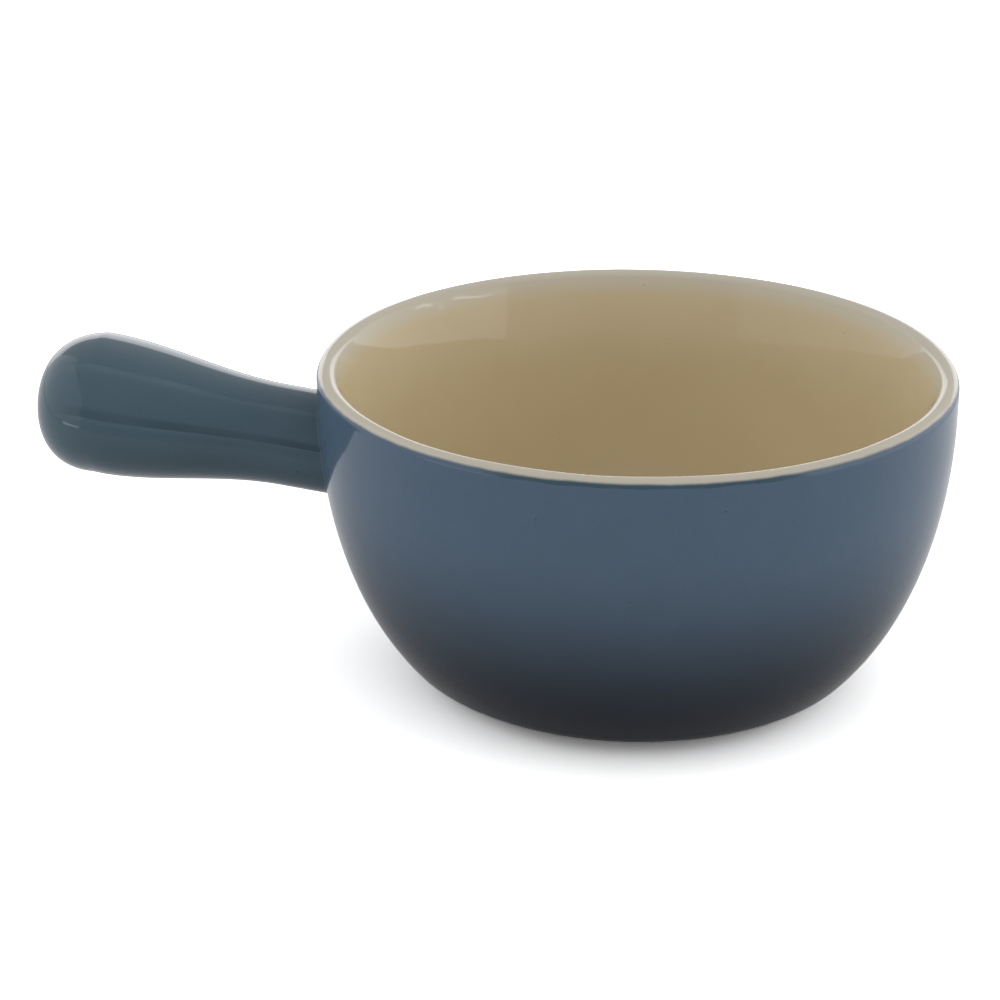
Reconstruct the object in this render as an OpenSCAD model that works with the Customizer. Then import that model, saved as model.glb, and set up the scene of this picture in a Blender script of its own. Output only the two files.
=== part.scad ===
// Onion soup crock: a glazed stoneware bowl with one fluted paddle handle.
// Lengths are in millimetres. The origin is on the table, at the bowl's axis, and the handle points along -X.

/* [Bowl] */
// Outside radius of the glazed rim
rim_r = 73; // [60:0.5:90]
// Height from the table to the top of the lip
bowl_h = 74.3; // [62:0.1:95]
// Height of the rounded top of the lip
lip_h = 2.2; // [1.4:0.1:3]
// Glazed wall thickness at the lip
wall_t = 4.6; // [3.6:0.1:6.5]
// Height of the upright part of the side, with the lip
upright_h = 8.6; // [4:0.1:14]
// Height over which the inside flares out to the lip
flare_h = 24; // [14:0.5:32]
// Lean of the inside where it meets the lip, in degrees
flare_angle = 24; // [10:1:32]
// Glazed floor thickness, from the table to the inside
floor_t = 8.5; // [6:0.1:11]
// Height of the curve from the floor to the inside wall
corner_h = 18; // [14:0.5:28]
// Radius of the flat middle of the floor
floor_flat_r = 30; // [16:0.5:34]

/* [Foot] */
// Outside radius of the glazed foot
foot_r = 44.5; // [38:0.5:50]
// Radial width of the foot ring
foot_w = 7.5; // [5:0.5:10]
// Depth of the recess inside the foot ring
recess_h = 1.8; // [1:0.1:2.4]
// Height of the bare clay band under the outside glaze
bare_h = 0.9; // [0.5:0.1:1.6]
// Height where the heel's curve meets the side
heel_z = 6; // [5:0.1:8]
// Radius of the side at that height
heel_r = 54.35; // [50:0.05:62]

/* [Handle] */
// Distance from the bowl's axis to the handle's tip
handle_reach = 138.4; // [122:0.2:165]
// Width of the handle where it leaves the bowl
neck_w = 31; // [24:0.5:38]
// Thickness of the handle where it leaves the bowl
neck_t = 22.3; // [16:0.1:24]
// Width of the paddle end
paddle_w = 47; // [36:0.5:54]
// Thickness of the paddle end
paddle_t = 30.4; // [22:0.1:34]
// Distance from the top of the lip down to the handle's centre line at the bowl
joint_drop = 21.2; // [18:0.1:26]
// Rise of the centre line from the bowl to the paddle
paddle_rise = 8.5; // [0:0.5:14]
// Distance from the bowl's axis to the start of the swell
neck_x = 81.3; // [78:0.1:92]
// Length of the swell, from the neck to the full paddle
swell_len = 42.8; // [34:0.1:46]
// Length of the rounded end, seen from above
plan_end_len = 20.7; // [16:0.5:28]
// Length of the rounded end, seen from the side
side_end_len = 15; // [10:0.1:18]
// Depth of the creases between the flutes
crease_depth = 0.4; // [0.2:0.1:1.2]

/* [Glaze and slip] */
// Thickness of each glaze coat
glaze_t = 0.4; // [0.3:0.05:0.6]
// Thickness of the slip that joins the handle to the bowl
slip_t = 0.8; // [0.7:0.1:1.2]

/* [Hidden] */

// Powers of the rounded curves: a power of 2 is an ellipse and a higher one is squarer
side_power = 3;
plan_end_power = 2.3;
side_end_power = 2.4;

// Steps along each curve
side_steps = 30;
heel_steps = 8;
inside_steps = 18;
corner_steps = 12;
lip_steps = 14;
swell_rings = 14;
end_rings = 15;
girth_steps = 72;
round_fn = 128;

// Angle on the lip, from its outer side, where the cream glaze meets the coloured one
seam_angle = 51;
// Angles of the creases round the handle, from the far side over the top
crease_angles = [15, 60, 120, 165];
// Angle that each crease's valley spreads to either side
crease_spread = 12;
// Small bevel on the bare edges of the foot
foot_bevel = 0.4;
// Run of the recess wall as it leans in from the foot ring
recess_lean = 1.5;
// Distance from the tip at which the creases begin, and at which they reach their depth
crease_start = 5;
crease_full = 16;
// Share of the heel's height where its curve starts to turn in to the foot
heel_turn_share = 0.5;
// Share of the heel's height over which the side's slope is measured
slope_step_share = 0.01;

// Distances from the axis between which the handle's root passes through the wall
root_x = rim_r - 2 * wall_t;
root_stop_x = rim_r + wall_t;
end_x = handle_reach - plan_end_len;
paddle_x = neck_x + swell_len;
joint_z = bowl_h - joint_drop;
recess_r = foot_r - foot_w;

// The side is upright above the belly and curves in below it, through the heel's radius
belly_z = bowl_h - upright_h;
belly_drop = (belly_z - heel_z) / sqrt(1 - pow(heel_r / rim_r, side_power));
lip_z = bowl_h - lip_h;
lip_mid_r = rim_r - wall_t / 2;

// The flare starts on the lip's inner side, where the lip leans as the flare does
flare_top_r = lip_mid_r - wall_t / 2 * cos(lip_turn(0));
flare_top_z = lip_z + lip_h * sin(lip_turn(0));
flare_low_z = flare_top_z - flare_h;
wall_low_t = rim_r - flare_top_r + tan(flare_angle) * flare_h / 2;
corner_z = floor_t + corner_h;

clay = [0.80, 0.75, 0.66];
slip = [0.72, 0.66, 0.57];
cream = [0.85, 0.79, 0.66];
slate_blue = [0.29, 0.36, 0.42];
shade_blue = [0.20, 0.22, 0.24];

// Radius of the side at a height, set in from the glazed surface by the coat
function side_r(z, coat) =
    let(down = max(0, belly_z - z) / (belly_drop - coat))
    (rim_r - coat) * pow(1 - down * down, 1 / side_power);

// Change of the side's radius with height
function side_slope(z, coat) =
    let(step = heel_z * slope_step_share)
    (side_r(z + step, coat) - side_r(z - step, coat)) / (2 * step);

// The side from just under the lip down to the heel
function side_points(coat) =
    [for (i = [1:side_steps])
        let(z = lip_z + (heel_z - lip_z) * i / side_steps)
        [side_r(z, coat), z]];

// The heel's curve, from the side in to the foot
function heel_points(coat) =
    let(
        turn_z = heel_z * heel_turn_share + coat / 2,
        high = [side_r(heel_z, coat), heel_z],
        turn = [high[0] - side_slope(heel_z, coat) * (heel_z - turn_z), turn_z],
        low = [foot_r - coat, bare_h + coat]
    )
    [for (i = [1:heel_steps])
        let(t = i / heel_steps)
        (1 - t) * (1 - t) * high + 2 * t * (1 - t) * turn + t * t * low];

// Angle on the lip, from its inner side, where it leans as the flare does
function lip_turn(coat) = atan(tan(flare_angle) * (lip_h - coat) / (wall_t / 2 - coat));

// The inside wall keeps an even thickness below the flare and thins through it to the lip
function flare_share(z) = min(max((z - flare_low_z) / flare_h, 0), 1);
function inside_r(z) =
    let(share = flare_share(z))
    side_r(z, 0) - wall_low_t
    + tan(flare_angle) * flare_h * (share / 2 - sin(180 * share) / (2 * PI));
function inside_slope(z) = side_slope(z, 0) + tan(flare_angle) * ease(flare_share(z));
function inside_point(z, coat) =
    let(lean = atan(inside_slope(z)))
    [inside_r(z) + coat * cos(lean), z - coat * sin(lean)];

// The inside from just under the lip down to the axis, set out from the glazed surface by the coat
function inside_points(coat) =
    let(
        high = inside_point(corner_z, coat),
        low_z = floor_t - coat,
        turn = [high[0] - inside_slope(corner_z) * (high[1] - low_z), low_z],
        low = [floor_flat_r, low_z]
    )
    concat(
        [for (i = [1:inside_steps])
            inside_point(flare_top_z + (corner_z - flare_top_z) * i / inside_steps, coat)],
        [for (i = [1:corner_steps])
            let(t = i / corner_steps)
            (1 - t) * (1 - t) * high + 2 * t * (1 - t) * turn + t * t * low],
        [[0, low_z]]
    );

// The rounded top of the lip between two angles, 0 being its outer side and 180 its inner side
function lip_points(from, to, coat) =
    [for (i = [0:lip_steps])
        let(angle = from + (to - from) * i / lip_steps)
        [lip_mid_r + (wall_t / 2 - coat) * cos(angle), lip_z + (lip_h - coat) * sin(angle)]];

function backwards(points) = [for (i = [len(points) - 1:-1:0]) points[i]];

// The roof of the recess, from its leaning wall in to the axis
function recess_points(coat) =
    let(up_share = (recess_h + coat - foot_bevel) / (recess_h + glaze_t - foot_bevel))
    [[recess_r - recess_lean * up_share, recess_h + coat], [0, recess_h + coat]];

// Clay of the bowl: the side, the heel, the foot ring, the recess, the inside and the lip
function clay_outline() = concat(
    side_points(glaze_t),
    heel_points(glaze_t),
    [
        [foot_r - glaze_t, foot_bevel],
        [foot_r - glaze_t - foot_bevel, 0],
        [recess_r + foot_bevel, 0],
        [recess_r, foot_bevel]
    ],
    recess_points(glaze_t),
    backwards(inside_points(glaze_t)),
    backwards(lip_points(0, 180 - lip_turn(glaze_t), glaze_t))
);

module filled_bowl(coat) {
    rotate_extrude($fn = round_fn)
        polygon(concat(
            [[0, lip_z]],
            side_points(coat),
            heel_points(coat),
            [[foot_r - coat, 0], [0, 0]]
        ));
}

// Eases from 0 to 1 with no corner at either end
function ease(t) = (1 - cos(180 * min(max(t, 0), 1))) / 2;
function blend(from, to, t) = from + (to - from) * t;

function swell(x) = ease((x - neck_x) / swell_len);
function end_share(x, length, power, coat) =
    let(t = min(max((x - handle_reach + length) / (length - coat), 0), 1))
    pow(1 - pow(t, power), 1 / power);
function half_width(x, coat) =
    (blend(neck_w, paddle_w, swell(x)) / 2 - coat) * end_share(x, plan_end_len, plan_end_power, coat);
function half_thickness(x, coat) =
    (blend(neck_t, paddle_t, swell(x)) / 2 - coat) * end_share(x, side_end_len, side_end_power, coat);
function spine_z(x) =
    joint_z + paddle_rise * min((x - rim_r) / (paddle_x - rim_r), 1);

// How far the nearest crease pulls the surface in, from 0 to 1, at an angle round the handle
function crease_pull(angle) =
    max([for (crease = crease_angles) pow(max(0, 1 - abs(angle - crease) / crease_spread), 2)]);
function crease_fade(x) =
    ease((handle_reach - crease_start - x) / (crease_full - crease_start));

function girth_point(x, angle, coat) =
    let(
        half_w = half_width(x, coat),
        half_t = half_thickness(x, coat),
        across = cos(angle) / half_w,
        along = sin(angle) / half_t,
        pull = crease_depth * crease_fade(x) * crease_pull(angle) / norm([across, along])
    )
    [-x, half_w * cos(angle) - pull * across, spine_z(x) + half_t * sin(angle) - pull * along];

// Distances of the handle's rings from the bowl's axis: even along the swell, closer round the end
function ring_places(coat) = concat(
    [for (i = [0:swell_rings]) blend(root_x + coat, end_x, i / swell_rings)],
    [for (i = [1:end_rings - 1]) end_x + (plan_end_len - coat) * sin(90 * i / end_rings)]
);

// The handle as one skin over its rings, closed flat at the root and to a point at the tip.
// With stop_x it is only the root, closed flat at the last ring before that distance.
module handle_form(coat, stop_x = handle_reach) {
    places = [for (x = ring_places(coat)) if (x < stop_x) x];
    rings = len(places);
    last_x = stop_x < handle_reach ? places[rings - 1] : handle_reach - coat;
    points = concat(
        [for (x = places) for (k = [0:girth_steps - 1]) girth_point(x, 360 * k / girth_steps, coat)],
        [[-last_x, 0, spine_z(last_x)]]
    );
    tip = rings * girth_steps;
    skin = [for (j = [0:rings - 2]) for (k = [0:girth_steps - 1])
        let(
            a = j * girth_steps + k,
            b = j * girth_steps + (k + 1) % girth_steps,
            c = a + girth_steps,
            d = b + girth_steps
        )
        each [[a, b, d], [a, d, c]]];
    end = [for (k = [0:girth_steps - 1])
        [(rings - 1) * girth_steps + k, (rings - 1) * girth_steps + (k + 1) % girth_steps, tip]];
    root = [[for (k = [girth_steps - 1:-1:0]) k]];
    polyhedron(points = points, faces = concat(skin, end, root), convexity = 4);
}

// Stoneware wall with its foot ring, bare where it stands
module bowl_body() {
    color(clay)
        rotate_extrude($fn = round_fn)
            polygon(clay_outline());
}

// Stoneware handle, cut to the curve of the bowl
module handle_body() {
    color(clay)
        difference() {
            handle_form(glaze_t);
            filled_bowl(glaze_t - slip_t);
        }
}

// Bed of slip between the handle's end and the bowl's side
module slip_joint() {
    color(slip)
        difference() {
            intersection() {
                handle_form(glaze_t, root_stop_x);
                filled_bowl(glaze_t - slip_t);
            }
            filled_bowl(glaze_t);
        }
}

// Cream glaze on the inside, carried over the lip to the seam
module inner_glaze() {
    color(cream)
        rotate_extrude($fn = round_fn)
            polygon(concat(
                lip_points(seam_angle, 180 - lip_turn(0), 0),
                inside_points(0),
                backwards(inside_points(glaze_t)),
                backwards(lip_points(seam_angle, 180 - lip_turn(glaze_t), glaze_t))
            ));
}

// Blue glaze on the outside, from the seam to just above the foot, open where the handle is joined
module outer_glaze() {
    color(slate_blue)
        difference() {
            rotate_extrude($fn = round_fn)
                polygon(concat(
                    backwards(lip_points(0, seam_angle, 0)),
                    side_points(0),
                    heel_points(0),
                    [[foot_r - glaze_t, bare_h]],
                    backwards(heel_points(glaze_t)),
                    backwards(side_points(glaze_t)),
                    lip_points(0, seam_angle, glaze_t)
                ));
            handle_form(glaze_t, root_stop_x);
        }
}

// Blue glaze over the handle, meeting the bowl's glaze at the joint
module handle_glaze() {
    color(slate_blue)
        difference() {
            handle_form(0);
            handle_form(glaze_t);
            filled_bowl(0);
        }
}

// Thin glaze in the recess under the bowl
module base_glaze() {
    color(shade_blue)
        rotate_extrude($fn = round_fn)
            polygon(concat(recess_points(0), backwards(recess_points(glaze_t))));
}

bowl_body();
handle_body();
slip_joint();
inner_glaze();
outer_glaze();
handle_glaze();
base_glaze();
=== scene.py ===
import math

import bmesh
import bpy
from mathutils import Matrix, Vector, noise


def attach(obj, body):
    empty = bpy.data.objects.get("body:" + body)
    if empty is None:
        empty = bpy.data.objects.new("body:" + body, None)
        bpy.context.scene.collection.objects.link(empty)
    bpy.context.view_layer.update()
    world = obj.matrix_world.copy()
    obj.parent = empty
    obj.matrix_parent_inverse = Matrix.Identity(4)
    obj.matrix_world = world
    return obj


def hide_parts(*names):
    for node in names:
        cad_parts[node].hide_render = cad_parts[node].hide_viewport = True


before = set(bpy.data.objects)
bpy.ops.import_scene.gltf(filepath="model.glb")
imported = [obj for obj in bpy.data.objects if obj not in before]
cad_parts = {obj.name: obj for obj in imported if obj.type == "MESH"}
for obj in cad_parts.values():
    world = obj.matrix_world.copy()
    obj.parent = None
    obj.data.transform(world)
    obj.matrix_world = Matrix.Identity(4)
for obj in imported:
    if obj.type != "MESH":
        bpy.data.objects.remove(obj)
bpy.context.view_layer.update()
print("frame: packed model loaded")

mm = 0.001
quarterTurn = math.pi / 2
fullTurn = 2 * math.pi
fullDegrees = 360
white = (1, 1, 1, 1)
# Vertices closer than this are one
weldDistance = 0.0005 * mm


def blend(low, high, share):
    return low + (high - low) * share


def ease(share):
    return (1 - math.cos(math.pi * min(max(share, 0), 1))) / 2


def curveThrough(high, turn, low, steps):
    points = []
    for i in range(1, steps + 1):
        t = i / steps
        shares = ((1 - t) ** 2, 2 * t * (1 - t), t * t)
        points.append(tuple(sum(s * p[k] for s, p in zip(shares, (high, turn, low))) for k in (0, 1)))
    return points


# The bowl's section: radii from its axis and heights from the table, in millimetres
bowl = {
    "rimRadius": 73.0,
    "height": 74.3,
    "lipHeight": 2.2,
    "lipThickness": 4.6,
    "uprightHeight": 8.6,
    "sidePower": 3.0,
    "heelHeight": 6.0,
    "heelRadius": 54.35,
    "heelTurn": 3.0,
    "footRadius": 44.5,
    "bareHeight": 0.9,
    "flareHeight": 24.0,
    "flareLean": math.radians(24),
    "floorThickness": 8.5,
    "cornerHeight": 18.0,
    "floorFlatRadius": 30.0,
    "floorFlatSteps": 4,
    "seamTurn": math.radians(51),
    "spinSteps": 240,
    "slopeStep": 0.05,
}
lipBase = bowl["height"] - bowl["lipHeight"]
lipMiddle = bowl["rimRadius"] - bowl["lipThickness"] / 2
belly = bowl["height"] - bowl["uprightHeight"]
heelShare = (bowl["heelRadius"] / bowl["rimRadius"]) ** bowl["sidePower"]
bellyDrop = (belly - bowl["heelHeight"]) / math.sqrt(1 - heelShare)


def lipPoint(turn, coat):
    return (lipMiddle + (bowl["lipThickness"] / 2 - coat) * math.cos(turn),
            lipBase + (bowl["lipHeight"] - coat) * math.sin(turn))


def lipLine(start, stop, coat, steps):
    return [lipPoint(blend(start, stop, i / steps), coat) for i in range(steps + 1)]


# Turn on the lip's inner side at which it leans as the flare below it does
def innerLipTurn(coat):
    steepness = (bowl["lipHeight"] - coat) / (bowl["lipThickness"] / 2 - coat)
    return math.pi - math.atan(math.tan(bowl["flareLean"]) * steepness)


flareTop = lipPoint(innerLipTurn(0), 0)
flareGain = math.tan(bowl["flareLean"]) * bowl["flareHeight"]
lowWall = bowl["rimRadius"] - flareTop[0] + flareGain / 2


def sideRadius(height, coat=0.0):
    down = max(0, belly - height) / (bellyDrop - coat)
    return (bowl["rimRadius"] - coat) * (1 - down ** 2) ** (1 / bowl["sidePower"])


def sideSlope(height, coat=0.0):
    step = bowl["slopeStep"]
    return (sideRadius(height + step, coat) - sideRadius(height - step, coat)) / (2 * step)


def sideLine(coat, steps):
    heights = [blend(lipBase, bowl["heelHeight"], i / steps) for i in range(1, steps + 1)]
    return [(sideRadius(height, coat), height) for height in heights]


def heelLine(coat, steps):
    turnHeight = bowl["heelTurn"] + coat / 2
    high = (sideRadius(bowl["heelHeight"], coat), bowl["heelHeight"])
    turn = (high[0] - sideSlope(high[1], coat) * (high[1] - turnHeight), turnHeight)
    return curveThrough(high, turn, (bowl["footRadius"] - coat, bowl["bareHeight"] + coat), steps)


def flareShare(height):
    return min(max((height - flareTop[1]) / bowl["flareHeight"] + 1, 0), 1)


def insideSlope(height):
    return sideSlope(height) + math.tan(bowl["flareLean"]) * ease(flareShare(height))


def insidePoint(height, coat):
    share = flareShare(height)
    flare = flareGain * (share / 2 - math.sin(math.pi * share) / fullTurn)
    lean = math.atan(insideSlope(height))
    radius = sideRadius(height) - lowWall + flare
    return (radius + coat * math.cos(lean), height - coat * math.sin(lean))


# Crowd above 1 sets the points closer together near the lip
def insideLine(coat, wallSteps, cornerSteps, crowd=1.0):
    corner = bowl["floorThickness"] + bowl["cornerHeight"]
    heights = [blend(flareTop[1], corner, (i / wallSteps) ** crowd) for i in range(1, wallSteps + 1)]
    wall = [insidePoint(height, coat) for height in heights]
    floorHeight = bowl["floorThickness"] - coat
    turn = (wall[-1][0] - insideSlope(corner) * (wall[-1][1] - floorHeight), floorHeight)
    steps = bowl["floorFlatSteps"]
    flat = [(bowl["floorFlatRadius"] * i / steps, floorHeight) for i in range(steps, -1, -1)]
    return wall + curveThrough(wall[-1], turn, flat[0], cornerSteps) + flat[1:]


def finishMesh(name, mesh, sharpAngle=math.radians(50)):
    bmesh.ops.remove_doubles(mesh, verts=mesh.verts, dist=weldDistance)
    bmesh.ops.recalc_face_normals(mesh, faces=mesh.faces)
    for face in mesh.faces:
        face.smooth = True
    for edge in mesh.edges:
        edge.smooth = not edge.is_manifold or edge.calc_face_angle() < sharpAngle
    data = bpy.data.meshes.new(name)
    mesh.to_mesh(data)
    mesh.free()
    piece = bpy.data.objects.new(name, data)
    bpy.context.scene.collection.objects.link(piece)
    return piece


def spinOutline(outline, closed):
    mesh = bmesh.new()
    chain = [mesh.verts.new((outline[0][0] * mm, 0, outline[0][1] * mm))]
    for radius, height in outline[1:]:
        chain.append(bmesh.ops.extrude_vert_indiv(mesh, verts=[chain[-1]])["verts"][0])
        chain[-1].co = (radius * mm, 0, height * mm)
    if closed:
        mesh.edges.new((chain[-1], chain[0]))
    bmesh.ops.spin(mesh, geom=mesh.verts[:] + mesh.edges[:], cent=(0, 0, 0), axis=(0, 0, 1),
                   dvec=(0, 0, 0), angle=fullTurn, steps=bowl["spinSteps"], use_merge=True,
                   use_duplicate=False)
    bmesh.ops.remove_doubles(mesh, verts=mesh.verts, dist=weldDistance)
    bmesh.ops.recalc_face_normals(mesh, faces=mesh.faces)
    mesh.normal_update()
    return mesh


# Coats of glaze, in millimetres. Poured glaze is never quite even, and where it ran back
# from the lip, left of the far side, it dried in a low broken ridge on the inside.
# Steps are given for a coat's shown face and then for the face on the clay.
coats = {
    "thickness": 0.3,
    "edgeRound": 0.25,
    "edgeSteps": 5,
    "seamLipSteps": (26, 8),
    "sideSteps": (70, 24),
    "heelSteps": (16, 8),
    "innerLipSteps": (52, 12),
    "wallSteps": (110, 16),
    "wallCrowd": 1.6,
    "cornerSteps": (30, 8),
    "evenReach": 2.0,
    "rippleLength": 13.0,
    "rippleDepth": 0.12,
    "ridgeHeight": 71.8,
    "ridgeWidth": 0.4,
    "ridgeDepth": 0.2,
    "ridgeWander": 1.2,
    "ridgeWanderLength": 7.0,
    "ridgeWhole": 0.6,
    "ridgeBreaks": 3.0,
    "ridgeBreakLength": 4.5,
    "ridgeMiddle": math.radians(134.5),
    "ridgeRun": math.radians(11),
}
thick = coats["thickness"]
seam = bowl["seamTurn"]

(lipShown, lipHidden), (sideShown, sideHidden) = coats["seamLipSteps"], coats["sideSteps"]
heelShown, heelHidden = coats["heelSteps"]
outerOutline = lipLine(seam, 0, 0, lipShown) + sideLine(0, sideShown) + heelLine(0, heelShown)[:-1]
edgeMiddle = bowl["footRadius"] - coats["edgeRound"]
for i in range(coats["edgeSteps"] + 1):
    turn = -quarterTurn * i / coats["edgeSteps"]
    outerOutline.append((edgeMiddle + coats["edgeRound"] * math.cos(turn),
                         bowl["bareHeight"] + coats["edgeRound"] * (1 + math.sin(turn))))
outerOutline += heelLine(thick, heelHidden)[-2::-1]
outerOutline += sideLine(thick, sideHidden)[::-1]
outerOutline += lipLine(seam, 0, thick, lipHidden)[::-1]
outerGlaze = finishMesh("outerGlaze", spinOutline(outerOutline, closed=True))

(lipShown, lipHidden), (wallShown, wallHidden) = coats["innerLipSteps"], coats["wallSteps"]
cornerShown, cornerHidden = coats["cornerSteps"]
innerOutline = insideLine(0, wallShown, cornerShown, crowd=coats["wallCrowd"])[::-1]
innerOutline += lipLine(seam, innerLipTurn(0), 0, lipShown)[::-1]
innerOutline += lipLine(seam, innerLipTurn(thick), thick, lipHidden)
innerOutline += insideLine(thick, wallHidden, cornerHidden)
mesh = spinOutline(innerOutline, closed=False)
# The ridge's mask is kept for the cream glaze too, which lays a painted highlight along the ridge's
# crest
ridgeAndHighlightOf = mesh.verts.layers.float.new("ridgeAndPaintedHighlight")
seamRadius = lipPoint(seam, 0)[0] * mm
ridgeRadius = seamRadius - bowl["lipThickness"] / 2 * mm
moves = []
for vert in mesh.verts:
    away = math.hypot(vert.co.x, vert.co.y)
    share = ease((seamRadius - away) / (coats["evenReach"] * mm))
    move = noise.noise(vert.co / (coats["rippleLength"] * mm)) * coats["rippleDepth"]
    wander = noise.noise(vert.co / (coats["ridgeWanderLength"] * mm)) * coats["ridgeWander"]
    breaks = noise.noise(vert.co / (coats["ridgeBreakLength"] * mm)) * coats["ridgeBreaks"]
    along = (math.atan2(vert.co.y, vert.co.x) - coats["ridgeMiddle"]) / coats["ridgeRun"]
    across = (vert.co.z / mm - coats["ridgeHeight"] - wander) / coats["ridgeWidth"]
    if away < ridgeRadius:
        vert[ridgeAndHighlightOf] = ease(coats["ridgeWhole"] + breaks) * math.exp(-across ** 2 - along ** 4)
        move += coats["ridgeDepth"] * vert[ridgeAndHighlightOf]
    moves.append(vert.normal * move * share * mm)
for vert, move in zip(mesh.verts, moves):
    vert.co += move
innerGlaze = finishMesh("innerGlaze", mesh)
print("bowl: outside and inside glaze made")


# The handle, in millimetres along it from the bowl's axis. Turns round its girth are in degrees.
# Each side has one shallow flute, and a flute is deepest in the crease along each of its edges.
# Below each crease a painted highlight is laid, and above the low one a darker band that is partly
# pooled glaze and partly painted shade.
handle = {
    "reach": 138.4,
    "neckWidth": 31.0,
    "neckThickness": 22.3,
    "paddleWidth": 47.0,
    "paddleThickness": 30.4,
    "jointDrop": 21.2,
    "paddleRise": 8.5,
    "neckPlace": 81.3,
    "swellLength": 42.8,
    "planEnd": 20.7,
    "planPower": 2.3,
    "sideEnd": 15.0,
    "sidePower": 2.4,
    "creaseDepth": 0.28,
    "flutes": ((15, 60), (120, 165)),
    "creaseSpread": 13.0,
    "creaseEdge": 2.0,
    "highlightBelow": (9.0, 4.0),
    "poolAndShadeAbove": 10.0,
    "creaseMarkAhead": 1.5,
    "creaseMarkLevel": 0.7,
    "creaseMarkVary": 0.6,
    "creaseMarkVaryLength": 14.0,
    "creaseStart": 5.0,
    "creaseFull": 16.0,
    "fillet": 0.4,
    "sink": 0.15,
    "meetRounds": 12,
    "leavePlace": 84.0,
    "girthSteps": 360,
    "filletRings": 6,
    "leaveRings": 14,
    "swellRings": 36,
    "endRings": 40,
}
paddlePlace = handle["neckPlace"] + handle["swellLength"]
endPlace = handle["reach"] - handle["planEnd"]
jointHeight = bowl["height"] - handle["jointDrop"]
topTurn = 90
bottomTurn = 270
# The places of rings are looked up by rounded turns
turnDigits = 3


def endShare(place, length, power):
    share = min(max((place - handle["reach"] + length) / length, 0), 1)
    return (1 - share ** power) ** (1 / power)


def spineHeight(place):
    rise = min((place - bowl["rimRadius"]) / (paddlePlace - bowl["rimRadius"]), 1)
    return jointHeight + handle["paddleRise"] * rise


def creaseFade(place):
    return ease((handle["reach"] - handle["creaseStart"] - place)
                / (handle["creaseFull"] - handle["creaseStart"]))


def creasePull(place, turn):
    pull = 0.0
    for low, high in handle["flutes"]:
        inside = min(turn - low, high - turn)
        spread = handle["creaseSpread"] if inside > 0 else handle["creaseEdge"]
        pull = max(pull, 1 - abs(inside) / spread)
    return handle["creaseDepth"] * creaseFade(place) * pull ** 2


# 1 where the painted highlight below a crease is strongest, -1 where the band above the low crease,
# partly pooled glaze and partly painted shade, is darkest. The far side mirrors the near one.
def creaseHighlightAndShade(place, turn, spot):
    down = turn if topTurn <= turn <= bottomTurn else (2 * topTurn - turn) % fullDegrees
    creases = [crease - handle["creaseMarkAhead"] for crease in handle["flutes"][1]]
    creaseMark = 0.0
    for crease, spread in zip(creases, handle["highlightBelow"]):
        below = down - crease
        if 0 < below < spread:
            creaseMark += (1 - below / spread) ** 2
    above = creases[1] - down
    if 0 < above < handle["poolAndShadeAbove"]:
        creaseMark -= ease(2 * (1 - above / handle["poolAndShadeAbove"]))
    vary = noise.noise(spot / (handle["creaseMarkVaryLength"] * mm)) * handle["creaseMarkVary"]
    return creaseMark * creaseFade(place) * (handle["creaseMarkLevel"] + vary)


# Where the girth passes at a turn, across the handle and up from its spine
def girthPoint(place, turn, spread=0.0):
    swell = ease((place - handle["neckPlace"]) / handle["swellLength"])
    halfWidth = blend(handle["neckWidth"], handle["paddleWidth"], swell) / 2
    halfWidth *= endShare(place, handle["planEnd"], handle["planPower"])
    halfThickness = blend(handle["neckThickness"], handle["paddleThickness"], swell) / 2
    halfThickness *= endShare(place, handle["sideEnd"], handle["sidePower"])
    if min(halfWidth, halfThickness) <= 0:
        return 0.0, 0.0
    angle = math.radians(turn)
    across = math.cos(angle) / halfWidth
    along = math.sin(angle) / halfThickness
    pull = (creasePull(place, turn) - spread) / math.hypot(across, along)
    return (halfWidth * math.cos(angle) - pull * across,
            halfThickness * math.sin(angle) - pull * along)


# Distance from the axis at which the girth, spread outwards by the fillet, meets the bowl's side
def onBowl(turn, spread):
    place = bowl["rimRadius"]
    for i in range(handle["meetRounds"]):
        across, up = girthPoint(place, turn, spread)
        radius = sideRadius(spineHeight(place) + up) - handle["sink"]
        place = math.sqrt(radius ** 2 - across ** 2)
    return place


def ringPlaces(turn):
    places = []
    for i in range(handle["filletRings"] + 1):
        angle = quarterTurn * i / handle["filletRings"]
        spread = handle["fillet"] * (1 - math.sin(angle))
        places.append((onBowl(turn, spread) + handle["fillet"] * (1 - math.cos(angle)), spread))
    start = places[-1][0]
    for i in range(1, handle["leaveRings"] + 1):
        places.append((blend(start, handle["leavePlace"], i / handle["leaveRings"]), 0.0))
    for i in range(1, handle["swellRings"] + 1):
        places.append((blend(handle["leavePlace"], endPlace, i / handle["swellRings"]), 0.0))
    for i in range(1, handle["endRings"] + 1):
        angle = quarterTurn * i / handle["endRings"]
        places.append((endPlace + handle["planEnd"] * math.sin(angle), 0.0))
    return places


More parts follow.
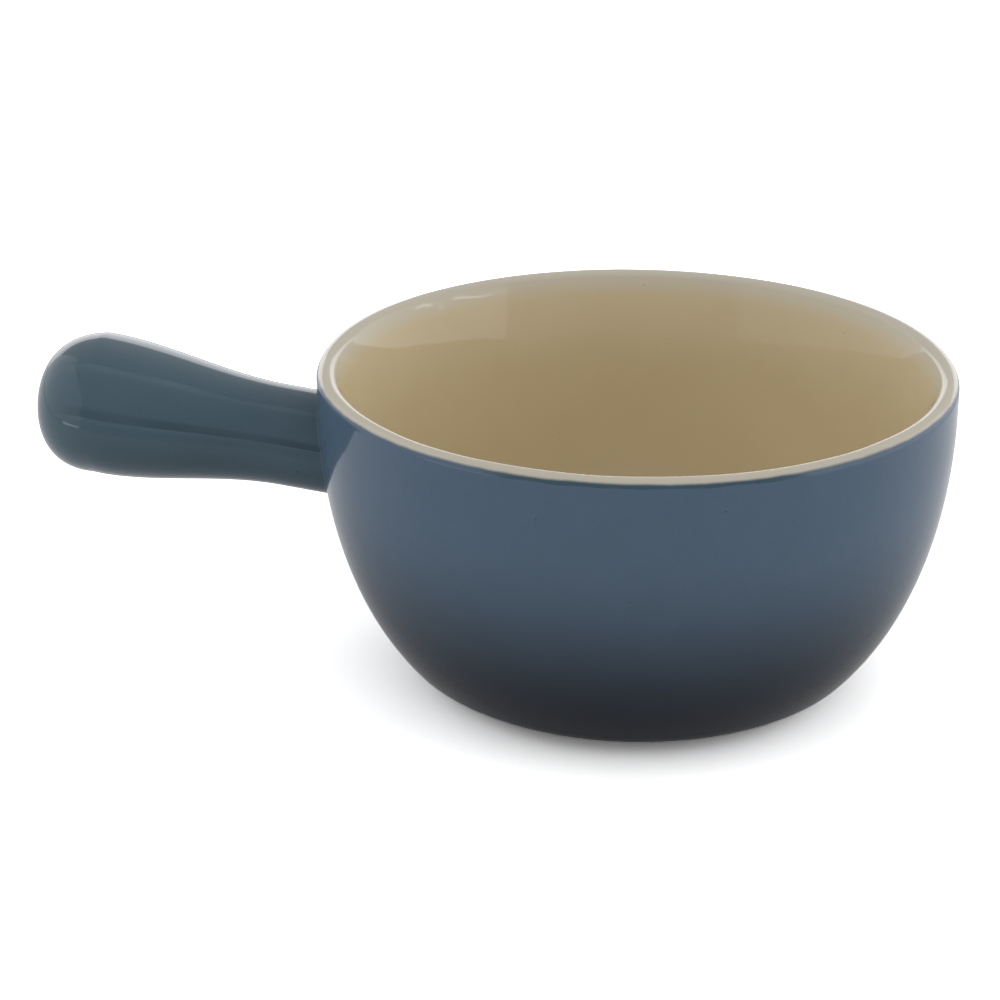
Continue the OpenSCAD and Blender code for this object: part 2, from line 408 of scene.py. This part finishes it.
mesh = bmesh.new()
bmesh.ops.create_circle(mesh, cap_ends=False, radius=1, segments=handle["girthSteps"])
turnOf = mesh.verts.layers.float.new("turn")
highlightAndShadeOf = mesh.verts.layers.float.new("creaseHighlightAndShade")
girth = mesh.verts[:]
for vert in girth:
    turn = math.degrees(math.atan2(vert.co.y, vert.co.x)) % fullDegrees
    vert[turnOf] = round(turn, turnDigits)
placesOf = {vert[turnOf]: ringPlaces(vert[turnOf]) for vert in girth}
rings = [girth]
edges = mesh.edges[:]
for ring in range(1, len(placesOf[girth[0][turnOf]])):
    made = bmesh.ops.extrude_edge_only(mesh, edges=edges)["geom"]
    edges = [item for item in made if isinstance(item, bmesh.types.BMEdge)]
    rings.append([item for item in made if isinstance(item, bmesh.types.BMVert)])
for ring, verts in enumerate(rings):
    for vert in verts:
        turn = vert[turnOf]
        place, spread = placesOf[turn][ring]
        across, up = girthPoint(place, turn, spread)
        vert.co = Vector((-place, across, spineHeight(place) + up)) * mm
        vert[highlightAndShadeOf] = creaseHighlightAndShade(place, turn, vert.co)
handleGlaze = finishMesh("handleGlaze", mesh)
wall = handleGlaze.modifiers.new("glazeWall", "SOLIDIFY")
wall.thickness = thick * mm
wall.offset = -1
print("handle: fluted glaze skin made")


# The recess inside the foot ring, in millimetres, with glaze pooled where its wall meets the roof
foot = {
    "width": 7.5,
    "recessHeight": 1.8,
    "recessLean": 1.5,
    "wallShare": 0.45,
    "coat": 0.4,
    "pool": 1.0,
    "poolSteps": 8,
}
roofRadius = bowl["footRadius"] - foot["width"] - foot["recessLean"]
roof = foot["recessHeight"]
baseOutline = [(0, roof), (roofRadius / 2, roof), (roofRadius - foot["pool"], roof)]
wallPoint = (roofRadius + foot["recessLean"] * foot["wallShare"], roof * (1 - foot["wallShare"]))
baseOutline += curveThrough(baseOutline[-1], (roofRadius, roof), wallPoint, foot["poolSteps"])
baseOutline += [(roofRadius, roof + foot["coat"]), (0, roof + foot["coat"])]
baseGlaze = finishMesh("baseGlaze", spinOutline(baseOutline, closed=False))
print("foot: recess glaze made")


# An sRGB hex code as linear light
def colourOf(code):
    values = []
    for start in (0, 2, 4):
        share = int(code[start:start + 2], 16) / 255
        values.append(share / 12.92 if share <= 0.04045 else ((share + 0.055) / 1.055) ** 2.4)
    return (*values, 1.0)


def newTree(owner):
    owner.use_nodes = True
    owner.node_tree.nodes.clear()
    return owner.node_tree


# Adds a node and gives back its outputs. An input is given a value or the output that feeds it.
# A Mix node takes its share at 0, two numbers at 2 and 3, and two colours at 6 and 7.
def addNode(tree, kind, inputs, **settings):
    node = tree.nodes.new("ShaderNode" + kind)
    for name, value in settings.items():
        setattr(node, name, value)
    for name, value in inputs.items():
        if isinstance(value, bpy.types.NodeSocket):
            tree.links.new(value, node.inputs[name])
        else:
            node.inputs[name].default_value = value
    return node.outputs


def startMaterial(name):
    material = bpy.data.materials.new(name)
    tree = newTree(material)
    return material, tree, addNode(tree, "TexCoord", {})["Object"]


# Lays tones over the first one, each by its own share
def layTones(tree, look, first, layers):
    colour = colourOf(look[first])
    for share, tone in layers:
        colour = addNode(tree, "Mix", {0: share, 6: colour, 7: colourOf(look[tone])},
                         data_type="RGBA")[2]
    return colour


# From 0 at the first height to 1 at the second, along an edge that noise makes waver
def waveringEdge(tree, place, height, look, edge):
    start, stop = (value * mm for value in look[edge + "Heights"])
    driftLength = look[edge + "DriftLength"] * mm
    drift = addNode(tree, "TexNoise", {"Vector": place, "Scale": 1 / driftLength})[0]
    moved = addNode(tree, "Math", {0: drift, 1: look[edge + "Drift"] * mm, 2: height},
                    operation="MULTIPLY_ADD")[0]
    return addNode(tree, "MapRange", {"Value": moved, "From Min": start, "From Max": stop},
                   interpolation_type="SMOOTHSTEP")[0]


# Sparse round specks: 1 in a speck, 0 between them
def specksOf(tree, place, look):
    size = look["speckSize"] / look["speckSpacing"]
    cells = addNode(tree, "TexVoronoi", {"Vector": place, "Scale": 1 / (look["speckSpacing"] * mm)})
    near = addNode(tree, "MapRange", {"Value": cells["Distance"], "From Min": size,
                                      "From Max": size / 2}, interpolation_type="SMOOTHSTEP")[0]
    luck = addNode(tree, "SeparateXYZ", {"Vector": cells["Color"]})["X"]
    chosen = addNode(tree, "Math", {0: luck, 1: look["speckShare"]}, operation="LESS_THAN")[0]
    return addNode(tree, "Math", {0: near, 1: chosen}, operation="MULTIPLY")[0]


def finishMaterial(tree, colour, look, gloss, **inputs):
    shader = addNode(tree, "BsdfPrincipled", {"Base Color": colour, "Roughness": look["roughness"],
                                              "Specular IOR Level": gloss, **inputs})[0]
    addNode(tree, "OutputMaterial", {"Surface": shader})


# Glassy slate blue glaze, faintly mottled with a few specks. On the bowl it darkens to charcoal
# towards the foot. Under the lip it thins to a pale edge, with a dark band along part of the
# front where it laps over the cream.
blueLook = {
    "slate": "566d83",
    "slatePale": "5d748c",
    "charcoal": "2f343d",
    "edgeTone": "dcd5c3",
    "lapTone": "44606f",
    "speckTone": "22303a",
    "roughness": 0.06,
    "gloss": 0.33,
    "mottleLength": 9.0,
    "grainLength": 1.3,
    "grainDetail": 3.0,
    "grainShare": 0.4,
    "speckSpacing": 6.5,
    "speckSize": 0.2,
    "speckShare": 0.3,
    "fadeHeights": (59.0, 13.0),
    "fadeDrift": 3.0,
    "fadeDriftLength": 25.0,
    "fadeGloss": 0.12,
    "lapHeights": (72.95, 73.2),
    "lapDrift": 0.9,
    "lapDriftLength": 6.0,
    "lapAngles": ((-27.0, -20.0), (34.0, 22.0)),
    "edgeHeights": (73.35, 73.95),
    "edgeDrift": 0.3,
    "edgeDriftLength": 5.0,
}

# The handle's glaze is a touch darker and greener than the bowl's. Below each crease a painted
# highlight is laid, and above the low one a darker band that is partly pooled glaze and partly
# painted shade.
handleLook = {
    **blueLook,
    "slate": "4d6472",
    "slatePale": "536b79",
    "poolAndShadeTone": "405664",
    "paintedHighlightTone": "607987",
}


def blueMaterial(name, look, onBowlSide):
    material, tree, place = startMaterial(name)
    mottle = addNode(tree, "TexNoise", {"Vector": place, "Scale": 1 / (look["mottleLength"] * mm)})[0]
    grain = addNode(tree, "TexNoise", {"Vector": place, "Scale": 1 / (look["grainLength"] * mm),
                                       "Detail": look["grainDetail"]})[0]
    layers = [(addNode(tree, "Mix", {0: look["grainShare"], 2: mottle, 3: grain})[0], "slatePale")]
    gloss = look["gloss"]
    if onBowlSide:
        parts = addNode(tree, "SeparateXYZ", {"Vector": place})
        faded = waveringEdge(tree, place, parts["Z"], look, "fade")
        gloss = addNode(tree, "Mix", {0: faded, 2: gloss, 3: look["fadeGloss"]})[0]
        backward = addNode(tree, "Math", {0: parts["Y"], 1: -1}, operation="MULTIPLY")[0]
        around = addNode(tree, "Math", {0: parts["X"], 1: backward}, operation="ARCTAN2")[0]
        lap = waveringEdge(tree, place, parts["Z"], look, "lap")
        for start, stop in look["lapAngles"]:
            reach = addNode(tree, "MapRange", {"Value": around, "From Min": math.radians(start),
                                               "From Max": math.radians(stop)},
                            interpolation_type="SMOOTHSTEP")[0]
            lap = addNode(tree, "Math", {0: lap, 1: reach}, operation="MULTIPLY")[0]
        edge = waveringEdge(tree, place, parts["Z"], look, "edge")
        layers += [(faded, "charcoal"), (lap, "lapTone"), (edge, "edgeTone")]
    else:
        # Painted highlight below the creases; above the low one, partly pooled glaze and partly
        # painted shade
        creaseMark = addNode(tree, "Attribute", {}, attribute_name="creaseHighlightAndShade")["Fac"]
        for sign, tone in ((-1, "poolAndShadeTone"), (1, "paintedHighlightTone")):
            share = addNode(tree, "Math", {0: creaseMark, 1: sign}, operation="MULTIPLY", use_clamp=True)[0]
            layers.append((share, tone))
    layers.append((specksOf(tree, place, look), "speckTone"))
    finishMaterial(tree, layTones(tree, look, "slate", layers), look, gloss)
    return material


# Glassy cream glaze over pale stoneware, with faint specks. It is paler where it thins over the
# lip, and a painted highlight runs along the ridge.
creamLook = {
    "cream": "deceaa",
    "creamDeep": "d9c8a3",
    "lipTone": "dcd5c3",
    "paintedRidgeHighlightTone": "fbf5e8",
    "speckTone": "7d6a48",
    "roughness": 0.05,
    "gloss": 0.33,
    "mottleLength": 16.0,
    "lipHeights": (68.0, 73.5),
    "speckSpacing": 7.0,
    "speckSize": 0.22,
    "speckShare": 0.25,
}


def creamMaterial(name, look):
    material, tree, place = startMaterial(name)
    mottle = addNode(tree, "TexNoise", {"Vector": place, "Scale": 1 / (look["mottleLength"] * mm)})[0]
    height = addNode(tree, "SeparateXYZ", {"Vector": place})["Z"]
    start, stop = (value * mm for value in look["lipHeights"])
    lip = addNode(tree, "MapRange", {"Value": height, "From Min": start, "From Max": stop},
                  interpolation_type="SMOOTHSTEP")[0]
    # A painted highlight along the ridge's crest
    ridgeHighlight = addNode(tree, "Attribute", {}, attribute_name="ridgeAndPaintedHighlight")["Fac"]
    layers = ((mottle, "creamDeep"), (lip, "lipTone"), (ridgeHighlight, "paintedRidgeHighlightTone"),
              (specksOf(tree, place, look), "speckTone"))
    finishMaterial(tree, layTones(tree, look, "cream", layers), look, look["gloss"])
    return material


# Thin charcoal glaze in the recess, satin and uneven
recessLook = {
    "charcoal": "26272a",
    "clayShow": "3a342d",
    "patchLength": 4.0,
    "patchDetail": 4.0,
    "roughness": 0.25,
    "gloss": 0.33,
}


def recessMaterial(name, look):
    material, tree, place = startMaterial(name)
    patches = addNode(tree, "TexNoise", {"Vector": place, "Scale": 1 / (look["patchLength"] * mm),
                                         "Detail": look["patchDetail"]})[0]
    colour = layTones(tree, look, "charcoal", ((patches, "clayShow"),))
    finishMaterial(tree, colour, look, look["gloss"])
    return material


# Bare fired clay: matt, fine grained, with darker grog as its specks
clayLook = {
    "clay": "c9bba2",
    "clayDark": "b19f82",
    "grog": "7b6a52",
    "roughness": 0.85,
    "gloss": 0.3,
    "grainLength": 0.6,
    "grainDetail": 4.0,
    "grainRoughness": 0.6,
    "grainDepth": 0.04,
    "speckSpacing": 1.6,
    "speckSize": 0.2,
    "speckShare": 0.4,
}

# The slip between bowl and handle fires darker than the clay
slipLook = {
    **clayLook,
    "clay": "a8957a",
    "clayDark": "8f7c62",
}


def clayMaterial(name, look):
    material, tree, place = startMaterial(name)
    grain = addNode(tree, "TexNoise", {"Vector": place, "Scale": 1 / (look["grainLength"] * mm),
                                       "Detail": look["grainDetail"],
                                       "Roughness": look["grainRoughness"]})[0]
    layers = ((grain, "clayDark"), (specksOf(tree, place, look), "grog"))
    bump = addNode(tree, "Bump", {"Distance": look["grainDepth"] * mm, "Height": grain})[0]
    finishMaterial(tree, layTones(tree, look, "clay", layers), look, look["gloss"], Normal=bump)
    return material


blueBowl = blueMaterial("slateBlueGlazeOnBowl", blueLook, True)
blueHandle = blueMaterial("slateBlueGlazeOnHandle", handleLook, False)
creamGlaze = creamMaterial("creamGlaze", creamLook)
charcoalGlaze = recessMaterial("charcoalBaseGlaze", recessLook)
clay = clayMaterial("bareStoneware", clayLook)
slip = clayMaterial("firedSlip", slipLook)

pieces = (
    (outerGlaze, blueBowl, "outer_glaze", "blue_glaze"),
    (innerGlaze, creamGlaze, "inner_glaze", "cream_glaze"),
    (handleGlaze, blueHandle, "handle_glaze", "blue_glaze"),
    (baseGlaze, charcoalGlaze, "base_glaze", "base_glaze"),
)
for piece, material, node, slotName in pieces:
    piece.data.materials.append(material)
    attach(piece, "root")
    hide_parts(node)
for node, material in (("bowl_body", clay), ("handle_body", clay), ("slip_joint", slip)):
    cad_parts[node].data.materials.clear()
    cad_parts[node].data.materials.append(material)
print("materials: glazes and clay set")


# The studio, in metres: a pale table with a low backdrop, a large softbox on each side and
# a low strip of light on the left, in an evenly lit pale room
studio = {
    "tableReach": 1.5,
    "tableColour": 0.6,
    "tableShown": 2.9,
    "tableMirrored": 1.15,
    "backdropAway": 1.0,
    "backdropHalf": 0.84,
    "backdropHeight": 0.36,
    "backdropGlow": 1.65,
    "softboxAway": 0.9,
    "rightRun": (-0.54, 1.07),
    "rightHeights": (0.0, 0.7),
    "rightGlow": 1.5,
    "leftRun": (-0.96, 1.07),
    "leftHeights": (0.06, 1.4),
    "leftGlow": 0.92,
    "stripRun": (-0.85, -0.3),
    "stripGlow": 3.4,
    "roomGlow": 0.52,
    "roomShown": 1.0,
}


def stageSheet(name, sheet, material):
    data = bpy.data.meshes.new(name)
    sheet.to_mesh(data)
    sheet.free()
    data.materials.append(material)
    made = bpy.data.objects.new(name, data)
    bpy.context.scene.collection.objects.link(made)
    return made


# A sheet of light that stands on its lower edge. The camera doesn't see it.
def lightSheet(name, start, stop, heights, glow):
    material = bpy.data.materials.new(name + "Glow")
    tree = newTree(material)
    addNode(tree, "OutputMaterial", {"Surface": addNode(tree, "Emission", {"Strength": glow})[0]})
    low, high = heights
    sheet = bmesh.new()
    corners = ((*start, low), (*stop, low), (*stop, high), (*start, high))
    bmesh.ops.contextual_create(sheet, geom=[sheet.verts.new(corner) for corner in corners])
    stageSheet(name, sheet, material).visible_camera = False


# Matt pale table. The camera and mirror reflections see it whiter than its bounced light
# shows, as the photograph's white table does.
tableMaterial = bpy.data.materials.new("paleTable")
tree = newTree(tableMaterial)
ray = addNode(tree, "LightPath", {})
tone = addNode(tree, "Mix", {0: ray["Is Glossy Ray"], 2: studio["tableColour"],
                             3: studio["tableMirrored"]})[0]
tone = addNode(tree, "Mix", {0: ray["Is Camera Ray"], 2: tone, 3: studio["tableShown"]})[0]
addNode(tree, "OutputMaterial", {"Surface": addNode(tree, "BsdfDiffuse", {"Color": tone})[0]})
sheet = bmesh.new()
bmesh.ops.create_grid(sheet, x_segments=1, y_segments=1, size=studio["tableReach"])
stageSheet("table", sheet, tableMaterial)

half, away = studio["backdropHalf"], studio["backdropAway"]
lightSheet("backdrop", (-half, away), (half, away), (0, studio["backdropHeight"]),
           studio["backdropGlow"])
side = studio["softboxAway"]
lightSheet("softboxRight", *((side, place) for place in studio["rightRun"]), studio["rightHeights"],
           studio["rightGlow"])
lightSheet("softboxLeft", *((-side, place) for place in studio["leftRun"]), studio["leftHeights"],
           studio["leftGlow"])
lightSheet("strip", *((-side, place) for place in studio["stripRun"]),
           (0, studio["leftHeights"][0]), studio["stripGlow"])

world = bpy.data.worlds.new("softRoom")
bpy.context.scene.world = world
tree = newTree(world)
seen = addNode(tree, "LightPath", {})["Is Camera Ray"]
glow = addNode(tree, "Mix", {0: seen, 2: studio["roomGlow"], 3: studio["roomShown"]})[0]
sky = addNode(tree, "Background", {"Color": white, "Strength": glow})[0]
addNode(tree, "OutputWorld", {"Surface": sky})
print("studio: table, backdrop, softboxes and room set")

# The photograph's view: a short telephoto lens from a little above the rim
view = {
    "place": (0.008015, -0.56106, 0.27118),
    "turn": (math.radians(67.60), 0, math.radians(4.0)),
    "lens": 93.54,
    "sensor": 36.0,
}
lens = bpy.data.cameras.new("camera")
lens.lens = view["lens"]
lens.sensor_width = view["sensor"]
camera = bpy.data.objects.new("camera", lens)
camera.location = view["place"]
camera.rotation_euler = view["turn"]
bpy.context.scene.collection.objects.link(camera)
bpy.context.scene.camera = camera
bpy.context.scene.view_settings.view_transform = "Standard"
